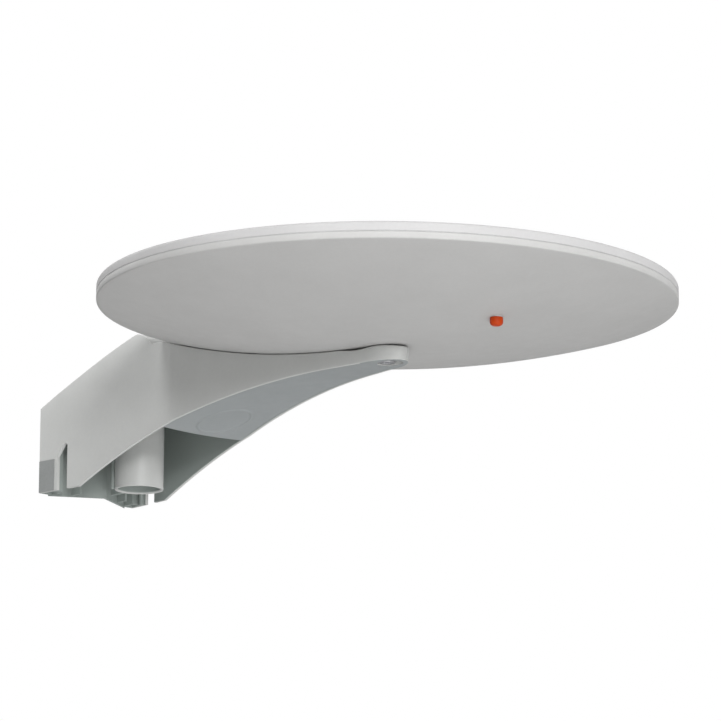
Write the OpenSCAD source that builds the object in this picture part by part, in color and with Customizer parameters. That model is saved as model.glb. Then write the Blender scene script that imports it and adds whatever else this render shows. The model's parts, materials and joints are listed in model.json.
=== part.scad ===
// Flat round outdoor antenna: a two-shell disc carried at its centre by a
// hollow tapered arm with a mast socket, a mast saddle and band slots.
// The origin is the centre of the mast socket's mouth, +Z is up and +X runs
// along the arm from the wall towards the disc.

/* [Disc] */
// Outer diameter of the disc
disc_d = 380; // [340:10:420]
// Distance from the mast socket's axis to the disc's axis
disc_x = 253; // [246:0.2:258]
// Height of the rim's lower edge above the socket's mouth
rim_z = 89; // [87:0.5:91]
// Depth of the domed underside below the rim
dome_depth = 28.8; // [28:0.2:30]
// Power of the underside's curve: 2 is a parabola, more is flatter at the centre
dome_power = 2.05; // [2:0.05:2.3]
// Height of the base shell's rim band
base_band = 4.3; // [3:0.1:6]
// Height of the top cover's rim band
cover_band = 6.2; // [4:0.1:8]
// Rise of the top cover above its band
crown_rise = 14; // [8:1:20]
// Wall thickness of both shells
shell_t = 2.6; // [2:0.1:3]

/* [Arm] */
// Distance from the socket's axis back to the wall plane
wall_x = 57.4; // [54:0.2:60]
// Half width of the arm at the wall plane
half_back = 42; // [39:0.1:43]
// Half width of the arm at its lower back corner
half_heel = 39.3; // [36:0.1:41]
// Half width of the arm where its sides turn in towards the tip
half_waist = 36.1; // [33:0.1:37]
// Height of the arm's top edge at the wall plane
back_h = 59.6; // [55:0.2:65]
// Height of the nose beside the rim
nose_z = 97.5; // [95:0.5:99]
// Wall thickness of the arm
arm_t = 2.5; // [2:0.1:3]
// Radius of the round nose at the tip
tip_r = 7; // [6:0.5:8]

/* [Mast fixings] */
// Bore of the mast socket
socket_bore = 28.6; // [28.2:0.1:29]
// Outer diameter of the mast socket
socket_od = 33.5; // [33:0.1:35]
// Depth of the mast socket's bore
socket_depth = 68; // [50:1:68]
// Width of the band slots
slot_w = 10.4; // [8:0.2:11]
// Height of the band slots
slot_h = 32; // [25:1:36]
// Depth of the V of the saddle
vee_depth = 19.2; // [16:0.2:20]

/* [Coax socket] */
// Distance from the disc's axis to the coax socket
coax_x = 95; // [92:1:100]
// Turn of the disc's contents away from the arm's direction, in degrees
disc_turn = 5.2; // [0:0.2:10]
// Outer diameter of the protective cap
cap_d = 8.6; // [8.4:0.1:9.4]
// Height of the protective cap
cap_h = 5.6; // [5.4:0.1:7]

/* [Hidden] */
$fn = 64;

disc_r = disc_d / 2;
seam_gap = 0.5;
seam_z = base_band + seam_gap;
band_top = seam_z + cover_band;
rim_round = 2.2;
crown_power = 2.2;
steps = 36;

// Underside of the disc at radius r, counted from the rim's lower edge
function dome(r) = -dome_depth * (1 - pow(r / disc_r, dome_power));
// Top of the disc at radius r
function crown(r) = band_top + crown_rise * (1 - pow(r / (disc_r - rim_round), crown_power));
// Points at even radii from r0 to r1 along the underside, raised by dz
function dome_points(r0, r1, dz) = [
    for (i = [0:steps]) let (r = r0 + (r1 - r0) * i / steps) [r, dome(r) + dz]
];
function crown_points(r0, r1, dz) = [
    for (i = [0:steps]) let (r = r0 + (r1 - r0) * i / steps) [r, crown(r) + dz]
];
function arc(cx, cz, r, a0, a1, n = 8) = [
    for (i = [0:n]) let (a = a0 + (a1 - a0) * i / n) [cx + r * cos(a), cz + r * sin(a)]
];

// Centre joint
pad_r = 10.5;
pad_z = -dome_depth - 0.2;
washer_r = 9.6;
washer_t = 0.5;
seat_r = 26;
seat_drop = 0.5;
boss_r = 12.5;
tip_top = pad_z - washer_t;
screw_r = 2.95;
screw_hole_r = 3;
insert_r = 4.5;
insert_h = 14;
hub_r = 9;
hub_top = -11;
head_r = 5.2;
head_h = 2;
recess_r = 6.4;
end_recess_r = 7.3;
end_recess_x = 5;
recess_h = 3.5;

// Arm: lower edge is an arc that turns level at the tip
tip_bottom = rim_z - 39.2;
level_x = 217;
heel_x = -17.3;
edge_run = level_x - heel_x;
edge_r = (edge_run * edge_run + tip_bottom * tip_bottom) / (2 * tip_bottom);
function edge_z(x) = x > level_x ? tip_bottom
    : tip_bottom - edge_r + sqrt(edge_r * edge_r - (level_x - x) * (level_x - x));
waist_x = 75;
nose_x = 39.3;
nose_front = 55.5;
arm_gap = 0.4;
// The roof runs up to the nose with a slight upward bow
roof_bow = 2.2;
function roof_z(x) = let (t = (x + wall_x) / (nose_x + wall_x))
    back_h + (nose_z - back_h) * t + 4 * roof_bow * t * (1 - t);
back_turn = atan((half_back - half_heel) / (wall_x + heel_x));
cavity_end = disc_x - 10;
// Half width of the arm from its waist on, where its sides run straight
neck_x = disc_x - 8;
neck_half = 14.5;
function half_at(x) = half_waist + (neck_half - half_waist) * (x - waist_x) / (neck_x - waist_x);
// Each side then bends round by bend_turn, on a radius of bend_r, into the round end of the tip
end_x = disc_x + 10;
wall_turn = atan((half_waist - neck_half) / (neck_x - waist_x));
bend_turn = 50;
bend_r = (half_at(end_x) * cos(wall_turn) - tip_r * cos(bend_turn - wall_turn))
    / (1 - cos(bend_turn - wall_turn));
bend_x = end_x - (bend_r - tip_r) * sin(bend_turn);
bend_y = (bend_r - tip_r) * cos(bend_turn);
bend_from = bend_x + bend_r * sin(wall_turn);
bend_to = end_x + tip_r * sin(bend_turn);

// Saddle
land_half = 34;
vee_drop = 1;
plate_t = 2.6;
saddle_top = 66;
slot_x = -34.4;
slot_slope = 23.5;
slot_round = 2.4;
rib_t = 1.8;
rear_x = -wall_x + vee_depth + 3.1;
strip_h = 22;
strip_l = 15.5;
strip_t = 0.5;

// Under cover
cover_x = 66.5;
cover_bow = 2;
cover_t = 2.2;
oval_x = 90;
oval_l = 20.5;
oval_w = 17;
oval_line = 1.3;
oval_h = 0.5;

// Parts inside the disc
post_top = 0;
carrier_t = 3;
plate_sheet = 0.8;
fan_in = 20;
fan_out = 122;
fan_half = 25;
loop_r = 163;
loop_w = 6;
loop_sheet = 1.2;
clip_count = 8;
post_r = 60;
board_x = 55;
board_z = -14;
board_l = 64;
board_w = 44;
board_t = 1.6;
board_dx = 27;
board_dy = 17;
shield_h = 7;
coax_z = -10;
coax_r = 1.2;
coax_bend = 5;

// Coax socket: heights of its seats inside and outside the base shell
seat_in_r = 8;
pad_in = dome(coax_x + seat_in_r) + shell_t + 0.3;
cap_top = dome(coax_x - cap_d / 2) - 0.15;
shoulder_top = cap_top + 1.6;
seal_t = 0.3;
thread_r = 3.1;
shoulder_r = 4;
socket_low = cap_top - 4.4;
socket_top = coax_z - coax_bend;
cap_round = 2.6;

module at_disc() {
    translate([disc_x, 0, rim_z]) rotate(disc_turn) children();
}

// Same shape at each post of the carrier, the board or the loop
module ring_of(n, r, a0 = 0) {
    for (i = [0:n - 1]) rotate(a0 + 360 * i / n) translate([r, 0, 0]) children();
}
module board_corners() {
    for (sx = [-1, 1], sy = [-1, 1])
        translate([board_x + sx * board_dx, sy * board_dy, 0]) children();
}

// Plan of the arm up to x_end, with its sides drawn in by d
module plan(d, x_end) {
    polygon([
        [-wall_x, -half_back + d], [heel_x, -half_heel + d], [waist_x, -half_waist + d],
        [x_end, -half_at(x_end) + d], [x_end, half_at(x_end) - d],
        [waist_x, half_waist - d], [heel_x, half_heel - d], [-wall_x, half_back - d]
    ]);
}

// Plan of the tip: two long arcs and the round end
module tip_plan() {
    intersection() {
        for_side(1) circle(r = bend_r, $fn = 360);
        for_side(-1) circle(r = bend_r, $fn = 360);
        translate([bend_from - 0.1, -half_waist]) square([bend_to - bend_from + 0.1, half_waist * 2]);
    }
    translate([end_x, 0]) circle(r = tip_r);
}
module for_side(s) {
    translate([bend_x, s * bend_y]) children();
}

// Side view of the arm between its lower edge and its roof
module side_view() {
    polygon(concat(
        [[-wall_x, 0]],
        [for (i = [0:12]) let (x = -wall_x + (nose_x - 4 + wall_x) * i / 12) [x, roof_z(x)]],
        [[nose_x + 0.5, nose_z], [nose_x + 6.5, nose_z - 1.3], [nose_x + 11.5, nose_z - 3.8],
         [nose_front, rim_z - arm_gap]],
        [[disc_x + 20, rim_z - arm_gap], [disc_x + 20, tip_bottom], [level_x, tip_bottom]],
        [for (i = [0:24]) let (x = level_x - edge_run * i / 24) [x, edge_z(x)]]
    ));
}
module side_hollow() {
    polygon(concat(
        [[-wall_x - 1, -5], [-wall_x - 1, back_h - arm_t - 1]],
        [for (i = [0:6]) let (x = -wall_x + (nose_x - 4 + wall_x) * i / 6) [x, roof_z(x) - arm_t - 0.3]],
        [[nose_x + 6, nose_z - arm_t - 3.2], [nose_front - arm_t - 1, rim_z - arm_gap - arm_t],
         [cavity_end, rim_z - arm_gap - arm_t], [cavity_end, -5]]
    ));
}
module from_side(w) {
    rotate([90, 0, 0]) linear_extrude(w, center = true, convexity = 6) children();
}

// The space above a surface that follows the underside, gap below it
module above_dome(gap) {
    at_disc() rotate_extrude($fn = 180)
        polygon(concat([[0, 40]], dome_points(0, disc_r, -gap), [[disc_r + 2, -gap], [disc_r + 2, 40]]));
}

// A band slot: open at the bottom, with a slanted shoulder towards the wall and a round top
module slot_outline() {
    top_x = slot_w / 2 - slot_round;
    top_z = slot_h - slot_round;
    run = top_x + slot_w / 2;
    rise = top_z - slot_slope;
    slant = atan(rise / run) + asin(slot_round / norm([run, rise]));
    polygon(concat(
        [[slot_w / 2, -5], [-slot_w / 2, -5], [-slot_w / 2, slot_slope]],
        arc(top_x, top_z, slot_round, slant + 90, 0, 12)
    ));
}

module arm_shell() {
    color("lightgray") difference() {
        union() {
            intersection() {
                linear_extrude(110) {
                    plan(0, bend_from);
                    tip_plan();
                }
                from_side(100) side_view();
            }
            // Low pads at the lower back corners
            for (s = [-1, 1]) translate([-wall_x, s * half_back, 0]) rotate(-s * back_turn)
                translate([0.1, s > 0 ? -1 : -strip_t, 0]) cube([strip_l, strip_t + 1, strip_h]);
        }
        above_dome(arm_gap);
        // Seat of the disc, with a low boss under the washer
        translate([disc_x, 0, rim_z + tip_top - seat_drop]) difference() {
            cylinder(r = seat_r, h = 30);
            translate([0, 0, -1]) cylinder(r = boss_r, h = 1 + seat_drop);
        }
        difference() {
            intersection() {
                translate([0, 0, -1]) linear_extrude(112) plan(arm_t, cavity_end);
                from_side(100) side_hollow();
            }
            above_dome(arm_gap + arm_t);
        }
        translate([slot_x, 0, 0]) from_side(100) slot_outline();
        translate([disc_x, 0, 0]) cylinder(r = screw_hole_r, h = 110);
        // Recess of the screw, drawn out towards the tip
        translate([disc_x, 0, tip_bottom - 1]) linear_extrude(recess_h + 1) {
            circle(r = recess_r);
            translate([end_recess_x, 0]) circle(r = end_recess_r);
        }
    }
}

// Plan of the V, and of the flat land beside it
module vee() {
    polygon([
        [-wall_x, -land_half], [-wall_x + vee_depth, 0], [-wall_x, land_half],
        [-wall_x + plate_t, land_half - 2], [-wall_x + vee_depth + plate_t + 0.4, 0],
        [-wall_x + plate_t, -land_half + 2]
    ]);
}
module land(s) {
    polygon([
        [-wall_x, s * land_half], [-wall_x, s * half_back],
        [-wall_x + plate_t, s * half_back], [-wall_x + plate_t, s * (land_half - 2)]
    ]);
}

module mast_saddle() {
    color("lightgray") intersection() {
        union() {
            // The V hangs slightly below the walls
            translate([0, 0, -vee_drop]) linear_extrude(saddle_top + vee_drop) vee();
            linear_extrude(saddle_top) intersection() {
                plan(arm_t + 0.05, 0);
                // Lands, and short ribs behind the V and before the band slots
                for (s = [-1, 1]) {
                    land(s);
                    translate([-49, s * 20 - rib_t / 2]) square([10.3, rib_t]);
                    translate([-47, s > 0 ? 31 : -half_back]) square([rib_t, half_back - 31]);
                    translate([-42.4, s > 0 ? 34.6 : -half_back]) square([rib_t, half_back - 34.6]);
                    translate([-47, s > 0 ? 36.6 : -half_back]) square([6, half_back - 36.6]);
                    translate([-wall_x + 1, s > 0 ? 31 : -31 - rib_t]) square([11.4, rib_t]);
                }
            }
        }
        from_side(100) side_hollow();
    }
}

module mast_socket() {
    color("gainsboro") difference() {
        cylinder(d = socket_od, h = socket_depth + 3, $fn = 96);
        translate([0, 0, -1]) cylinder(d = socket_bore, h = socket_depth + 1, $fn = 96);
    }
}

module socket_ribs() {
    color("gainsboro") intersection() {
        from_side(100) side_hollow();
        difference() {
            union() {
                // Rear web to the saddle
                translate([rear_x, -1.5, 0]) cube([-rear_x, 3, 90]);
                // Beads down the back of the socket
                for (a = [-1, 1]) rotate(a * 132) translate([socket_od / 2 - 1, -1.1, 0.6])
                    cube([3.3, 2.2, socket_depth - 1]);
                // Web from the top of the socket to the roof
                translate([-15, -1.5, socket_depth + 3]) cube([30, 3, 30]);
            }
            // Way of the mast band
            translate([slot_x - 2, -5, -1]) cube([slot_w / 2 + 2, 10, slot_h + 1]);
            translate([0, 0, -1]) cylinder(d = socket_od, h = socket_depth + 4, $fn = 96);
        }
    }
}

// Strip of the side view that lies from low to high above the lower edge
module edge_strip(x0, x1, low, high) {
    polygon(concat(
        [for (i = [0:24]) let (x = x0 + (x1 - x0) * i / 24) [x, edge_z(x) + low]],
        [for (i = [24:-1:0]) let (x = x0 + (x1 - x0) * i / 24) [x, edge_z(x) + high]]
    ));
}
module oval(d) {
    polygon([for (a = [0:7.5:352.5]) [oval_x + (oval_l - d) * cos(a), (oval_w - d) * sin(a)]]);
}

module under_cover() {
    end_half = half_waist - arm_t;
    bow_r = (end_half * end_half + cover_bow * cover_bow) / (2 * cover_bow);
    color("silver") {
        intersection() {
            linear_extrude(70) intersection() {
                plan(arm_t + 0.1, cavity_end - 0.2);
                // Its open end bows towards the mast
                union() {
                    translate([cover_x, -half_back]) square([cavity_end, half_back * 2]);
                    translate([cover_x - cover_bow + bow_r, 0]) circle(r = bow_r, $fn = 360);
                }
            }
            from_side(90) edge_strip(cover_x - cover_bow - 1, cavity_end, 0, cover_t);
        }
        // Low oval embossing near the open end
        intersection() {
            linear_extrude(70) difference() {
                oval(0);
                oval(oval_line);
            }
            from_side(90) edge_strip(oval_x - oval_l - 1, oval_x + oval_l + 1, -oval_h, 0.6);
        }
    }
}

module friction_washer() {
    color("dimgray") at_disc() translate([0, 0, tip_top]) difference() {
        cylinder(r = washer_r, h = washer_t);
        translate([0, 0, -1]) cylinder(r = screw_r + 0.4, h = 4);
    }
}

module top_cover() {
    inner = disc_r - shell_t;
    color("whitesmoke") at_disc() rotate_extrude($fn = 180) polygon(concat(
        [[inner - 2, base_band - 1.8], [inner - 0.15, base_band - 1.8], [inner - 0.15, seam_z],
         [disc_r, seam_z]],
        arc(disc_r - rim_round, band_top - rim_round, rim_round, 0, 90),
        crown_points(disc_r - rim_round, 0, 0),
        crown_points(0, inner - 2, -shell_t),
        [[inner - 2, crown(inner - 2) - shell_t]]
    ));
}

module base_shell() {
    color("whitesmoke") at_disc() difference() {
        union() {
            difference() {
                rotate_extrude($fn = 180) polygon(concat(
                    dome_points(0, disc_r, 0),
                    [[disc_r, base_band], [disc_r - shell_t, base_band]],
                    dome_points(disc_r - shell_t, 0, shell_t)
                ));
            }
            // Centre boss and its pad against the arm's tip
            translate([0, 0, pad_z]) cylinder(r = pad_r, h = 3);
            translate([0, 0, pad_z]) cylinder(r = hub_r, h = hub_top - pad_z);
            // Posts for the carrier, the board and the loop
            ring_of(4, post_r, 45) translate([0, 0, dome(post_r) + 1]) cylinder(r = 4, h = -1 - dome(post_r));
            ring_of(clip_count, loop_r, 22.5)
                translate([0, 0, dome(loop_r) + 1]) cylinder(r = 4, h = -1 - dome(loop_r));
            for (sx = [-1, 1], sy = [-1, 1])
                let (x = board_x + sx * board_dx, y = sy * board_dy, low = dome(norm([x, y])) + 1)
                    translate([x, y, low]) cylinder(r = 3, h = board_z - low);
            // Flat seats of the coax socket, inside and outside
            translate([coax_x, 0, cap_top + 0.1]) cylinder(d = cap_d, h = 3);
            translate([coax_x, 0, pad_in - 2.5]) cylinder(r = seat_in_r, h = 2.5);
        }
        translate([0, 0, pad_z - 1]) cylinder(r = insert_r, h = insert_h + 1);
        translate([coax_x, 0, -30]) cylinder(r = thread_r + 0.1, h = 20);
        translate([coax_x, 0, -30]) cylinder(r = shoulder_r + 0.05, h = 30 + shoulder_top + seal_t);
        ring_of(4, post_r, 45) translate([0, 0, -8]) cylinder(r = 1.5, h = 9);
        board_corners() translate([0, 0, board_z - 6]) cylinder(r = 1.2, h = 7);
    }
}

module rim_seal() {
    color("dimgray") at_disc() translate([0, 0, base_band]) difference() {
        cylinder(r = disc_r - 0.9, h = seam_gap, $fn = 180);
        translate([0, 0, -1]) cylinder(r = disc_r - shell_t, h = 3, $fn = 180);
    }
}

module centre_insert() {
    color("goldenrod") at_disc() translate([0, 0, pad_z + 1]) difference() {
        cylinder(r = insert_r, h = insert_h - 1);
        translate([0, 0, -1]) cylinder(r = screw_r + 0.02, h = insert_h - 2);
    }
}

module centre_screw() {
    head_z = tip_bottom - rim_z + recess_h - 1 - head_h;
    color("silver") at_disc() translate([0, 0, head_z]) difference() {
        union() {
            cylinder(r = head_r, h = head_h);
            cylinder(r = screw_r, h = 18);
        }
        // Cross recess in the head
        for (a = [0, 90]) rotate(a) translate([-3, -0.6, -1]) cube([6, 1.2, 2.4]);
    }
}

module screw_washer() {
    color("silver") at_disc() translate([0, 0, tip_bottom - rim_z + recess_h - 1]) difference() {
        cylinder(r = 6.4, h = 1);
        translate([0, 0, -1]) cylinder(r = screw_r + 0.2, h = 3);
    }
}

module element_carrier() {
    color("ivory") at_disc() difference() {
        union() {
            cylinder(r = 32, h = carrier_t);
            for (a = [0, 90]) rotate(a) translate([-118, -6, 0]) cube([236, 12, carrier_t]);
            ring_of(4, post_r, 45) cylinder(r = 6, h = carrier_t);
            for (a = [45, 135]) rotate(a) translate([-post_r, -4, 0]) cube([post_r * 2, 8, carrier_t]);
        }
        ring_of(4, post_r, 45) translate([0, 0, -1]) cylinder(r = 1.6, h = 6);
        translate([12, 0, -1]) cylinder(r = 1.6, h = 6);
    }
}

module carrier_screws() {
    color("silver") at_disc() ring_of(4, post_r, 45) {
        translate([0, 0, -7.5]) cylinder(r = 1.48, h = 7.5 + carrier_t);
        translate([0, 0, carrier_t]) cylinder(r = 3, h = 1.8);
    }
}

// One fan-shaped sheet of a dipole
module fan_plate() {
    translate([0, 0, carrier_t]) linear_extrude(plate_sheet) difference() {
        polygon(concat(
            arc(0, 0, fan_out, -fan_half, fan_half, 12), arc(0, 0, fan_in, fan_half, -fan_half, 6)
        ));
        translate([96, 0]) circle(r = 2);
    }
}
module dipole_x() {
    color("silver") at_disc() for (a = [0, 180]) rotate(a) fan_plate();
}
module dipole_y() {
    color("silver") at_disc() for (a = [90, 270]) rotate(a) fan_plate();
}

module balun_board() {
    color("seagreen") at_disc() translate([0, 0, carrier_t + plate_sheet]) {
        cylinder(r = 27, h = 1.2);
        // Solder tags over the four fans and the coupling coil
        for (a = [0:90:270]) rotate(a) translate([21, -2.5, 1.2]) cube([5, 5, 0.8]);
        translate([0, 0, 1.2]) cylinder(r = 5, h = 4);
    }
}

// Quarter bend from level (+X) to straight down, starting at the origin
module bend_down(bend, r) {
    translate([0, 0, -bend]) rotate([90, 0, 0]) rotate_extrude(angle = 90, $fn = 48)
        translate([bend, 0]) circle(r = r, $fn = 24);
}

module feed_coax() {
    color("dimgray") at_disc() {
        translate([12, 0, coax_z + 6]) cylinder(r = coax_r, h = carrier_t + plate_sheet - coax_z - 6);
        translate([18, 0, coax_z + 6]) rotate([90, 0, 0]) rotate([0, 0, 180])
            rotate_extrude(angle = 90, $fn = 48) translate([6, 0]) circle(r = coax_r, $fn = 24);
        translate([18, 0, coax_z]) rotate([0, 90, 0]) cylinder(r = coax_r, h = board_x - 25 - 18);
    }
}

module vhf_loop() {
    color("silver") at_disc() translate([0, 0, 1.2]) difference() {
        cylinder(r = loop_r + loop_w / 2, h = loop_sheet, $fn = 144);
        translate([0, 0, -1]) cylinder(r = loop_r - loop_w / 2, h = 4, $fn = 144);
        // Feed gap
        translate([-loop_r - 10, -6, -1]) cube([20, 12, 4]);
    }
}

module loop_clips() {
    color("ivory") at_disc() ring_of(clip_count, loop_r, 22.5) difference() {
        translate([-6, -4, 0]) cube([12, 8, 4.5]);
        translate([-loop_w / 2 - 0.1, -5, 1.1]) cube([loop_w + 0.2, 10, loop_sheet + 0.2]);
        translate([-1.5, -5, 1.2]) cube([3, 10, 4]);
    }
}

module amplifier_board() {
    color("seagreen") at_disc() translate([board_x, 0, board_z]) difference() {
        translate([-board_l / 2, -board_w / 2, 0]) cube([board_l, board_w, board_t]);
        translate([-board_x, 0, -board_z]) board_corners() translate([0, 0, board_z - 1])
            cylinder(r = 1.4, h = 4);
    }
}

module amplifier_shield() {
    color("silver") at_disc() translate([board_x, 0, board_z + board_t]) difference() {
        translate([-25, -13, 0]) cube([50, 26, shield_h]);
        translate([-24.4, -12.4, -1]) cube([48.8, 24.8, shield_h + 0.4]);
        translate([-30, 0, coax_z - board_z - board_t]) rotate([0, 90, 0]) cylinder(r = coax_r + 0.3, h = 60);
    }
}

module board_components() {
    color("dimgray") at_disc() translate([board_x, 0, board_z + board_t]) {
        translate([-16, -4, 0]) cube([8, 8, 1.6]);
        translate([2, -3, 0]) cube([6, 6, 1.4]);
        for (i = [-1, 1]) translate([-6, i * 9, 0]) cylinder(r = 1.8, h = 4, $fn = 32);
        for (i = [-1, 1]) translate([12, i * 8 - 1, 0]) cube([6, 2, 1.8]);
        translate([-21, 6, 0]) cube([3, 3, 2.4]);
    }
}

module board_screws() {
    color("silver") at_disc() board_corners() {
        translate([0, 0, board_z - 5.5]) cylinder(r = 1.18, h = 5.5 + board_t);
        translate([0, 0, board_z + board_t]) cylinder(r = 2.4, h = 1.4);
    }
}

module inner_coax() {
    color("dimgray") at_disc() {
        translate([board_x + 25, 0, coax_z]) rotate([0, 90, 0])
            cylinder(r = coax_r, h = coax_x - coax_bend - board_x - 25);
        translate([coax_x - coax_bend, 0, coax_z]) bend_down(coax_bend, coax_r);
    }
}

module coax_socket() {
    color("gold") at_disc() translate([coax_x, 0, 0]) difference() {
        union() {
            translate([0, 0, socket_low]) cylinder(r = thread_r, h = socket_top - socket_low);
            translate([0, 0, cap_top + 0.1]) cylinder(r = shoulder_r, h = shoulder_top - cap_top - 0.1);
        }
        translate([0, 0, socket_low - 1]) cylinder(r = 2, h = 20);
    }
}

module socket_seal() {
    color("black") at_disc() translate([coax_x, 0, shoulder_top]) difference() {
        cylinder(r = shoulder_r, h = seal_t);
        translate([0, 0, -1]) cylinder(r = thread_r + 0.05, h = 3);
    }
}

module socket_nut() {
    color("gold") at_disc() translate([coax_x, 0, pad_in]) difference() {
        cylinder(r = 4.9, h = 2.2, $fn = 6);
        translate([0, 0, -1]) cylinder(r = thread_r + 0.02, h = 5);
    }
}

module socket_insulator() {
    color("white") at_disc() translate([coax_x, 0, socket_low + 0.6]) difference() {
        cylinder(r = 1.98, h = socket_top - socket_low - 1);
        translate([0, 0, -1]) cylinder(r = 0.5, h = 20);
    }
}

module socket_contact() {
    color("gold") at_disc() translate([coax_x, 0, socket_low + 1])
        cylinder(r = 0.48, h = socket_top - socket_low - 1.4);
}

module connector_cap() {
    color("orangered") at_disc() translate([coax_x, 0, cap_top - cap_h]) difference() {
        rotate_extrude() polygon(concat(
            [[0, 0]], arc(cap_d / 2 - cap_round, cap_round, cap_round, -90, 0),
            [[cap_d / 2, cap_h - 0.8], [cap_d / 2 - 0.4, cap_h], [0, cap_h]]
        ));
        translate([0, 0, 1]) cylinder(r = thread_r + 0.06, h = cap_h);
    }
}

arm_shell();
mast_saddle();
mast_socket();
socket_ribs();
under_cover();
friction_washer();
top_cover();
base_shell();
rim_seal();
centre_insert();
centre_screw();
screw_washer();
element_carrier();
carrier_screws();
dipole_x();
dipole_y();
balun_board();
feed_coax();
vhf_loop();
loop_clips();
amplifier_board();
amplifier_shield();
board_components();
board_screws();
inner_coax();
coax_socket();
socket_seal();
socket_nut();
socket_insulator();
socket_contact();
connector_cap();
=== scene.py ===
import math
import json
import bpy
import bmesh
from mathutils import Matrix, Vector


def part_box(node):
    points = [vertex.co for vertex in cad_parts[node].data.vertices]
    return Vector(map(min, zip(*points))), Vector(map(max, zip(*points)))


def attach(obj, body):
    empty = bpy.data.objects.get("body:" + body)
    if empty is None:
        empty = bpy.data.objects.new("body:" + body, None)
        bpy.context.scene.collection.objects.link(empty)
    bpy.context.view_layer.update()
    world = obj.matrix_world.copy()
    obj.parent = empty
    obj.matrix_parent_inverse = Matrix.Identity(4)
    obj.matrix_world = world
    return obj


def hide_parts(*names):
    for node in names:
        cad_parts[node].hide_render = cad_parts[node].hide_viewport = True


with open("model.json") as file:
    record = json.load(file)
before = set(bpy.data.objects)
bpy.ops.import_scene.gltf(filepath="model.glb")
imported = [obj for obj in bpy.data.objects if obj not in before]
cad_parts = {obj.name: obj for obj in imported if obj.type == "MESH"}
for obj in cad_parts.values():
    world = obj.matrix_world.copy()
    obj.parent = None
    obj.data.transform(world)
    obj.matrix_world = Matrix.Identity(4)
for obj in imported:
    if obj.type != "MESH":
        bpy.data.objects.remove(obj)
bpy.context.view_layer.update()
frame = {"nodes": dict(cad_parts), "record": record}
nodes = frame["nodes"]

# ---------------------------------------------------------------- driving sizes
MM = 0.001
ARM_LOW, ARM_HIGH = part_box("arm_shell")
TOP_LOW, TOP_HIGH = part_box("top_cover")
SEAL_LOW, SEAL_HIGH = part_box("rim_seal")
WASHER_LOW, WASHER_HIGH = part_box("friction_washer")
CAP_LOW, CAP_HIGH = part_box("connector_cap")
TUBE_LOW, TUBE_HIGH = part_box("mast_socket")
NUT_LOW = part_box("socket_nut")[0]

# Disc: heights that carry Z in their names are in the object's frame, the rest are lengths
DISC_X = (WASHER_LOW.x + WASHER_HIGH.x) / 2
DISC_R = (TOP_HIGH.y - TOP_LOW.y) / 2
SHELL_T = 2.6 * MM
DOME_POWER = 2.05
SEAM_LOW_Z = SEAL_LOW.z
SEAM_HIGH_Z = SEAL_HIGH.z
RIM_Z = SEAM_LOW_Z - 4.3 * MM
PAD_Z = WASHER_HIGH.z
PAD_DROP = 0.2 * MM
DOME_DEPTH = RIM_Z - PAD_Z - PAD_DROP
PAD_R = 10.5 * MM
BAND_TOP_Z = SEAM_HIGH_Z + 6.2 * MM
CROWN_RISE = TOP_HIGH.z - BAND_TOP_Z
CROWN_POWER = 2.2
RIM_ROUND = 2.2 * MM
CAP_X = (CAP_LOW.x + CAP_HIGH.x) / 2
CAP_Y = (CAP_LOW.y + CAP_HIGH.y) / 2
CAP_R = (CAP_HIGH.x - CAP_LOW.x) / 2
AXIS = Vector((DISC_X, 0, 0))

# Arm
WALL_X = ARM_LOW.x
HALF_BACK = 42 * MM
HALF_HEEL, HEEL_X = 39.3 * MM, -17.3 * MM
HALF_WAIST, WAIST_X = 36.1 * MM, 75 * MM
BACK_BENDS = [(WALL_X, HALF_BACK), (HEEL_X, HALF_HEEL), (WAIST_X, HALF_WAIST)]
NECK_HALF, NECK_X = 14.5 * MM, DISC_X - 8 * MM
NOSE_R = 7 * MM
NOSE_X = ARM_HIGH.x - NOSE_R
BEND_TURN = math.radians(50)  # the sides bend round by this much into the nose
ARM_T = 2.5 * MM
ARM_GAP = 0.4 * MM
TIP_LOW_Z = RIM_Z - 39.2 * MM
TIP_TOP_Z = WASHER_LOW.z
LEVEL_X = 217 * MM
CAVITY_END = DISC_X - 10 * MM
SEAT_R, SEAT_DROP = 26 * MM, 0.5 * MM                 # flat seat on the tip, under the disc
SEAT_FAR, SEAT_RAMP = SEAT_R + 8 * MM, 14 * MM        # where its ramp starts, and how long it is
BOSS_R, BOSS_RISE = 12.5 * MM, SEAT_DROP + 0.3 * MM   # low boss in the seat, under the washer
BOSS_FAR, BOSS_RAMP = BOSS_R + 4 * MM, 5 * MM
BACK_Z, ROOF_BOW = 59.6 * MM, 2.2 * MM
BROW_X, BROW_Z = 39.3 * MM, ARM_HIGH.z
BROW_FRONT = 55.5 * MM
SLOT_X, SLOT_HALF, SLOT_TOP = -34.4 * MM, 5.2 * MM, 32 * MM
SLOT_SLOPE, SLOT_ROUND = 23.5 * MM, 2.4 * MM
STRIP_L, STRIP_H, STRIP_T = 15.5 * MM, 22 * MM, 0.5 * MM

# Under cover
COVER_X, COVER_BOW, COVER_T = 66.5 * MM, 2 * MM, 2.2 * MM
OVAL_X, OVAL_L, OVAL_W = 90 * MM, 20 * MM, 16.5 * MM
OVAL_LINE, OVAL_H = 0.9 * MM, 0.6 * MM

# ---------------------------------------------------------------- camera
AZIMUTH = math.radians(47.9)
ELEVATION = math.radians(12.65)
ROLL = math.radians(0.42)
FOCAL_FRAMES = 6.935          # focal length in frame widths
DISTANCE = 3.265
CENTRE_RIGHT = 0.0173         # how far the disc's centre stands right of the frame's centre
CENTRE_UP = 0.0363

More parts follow.
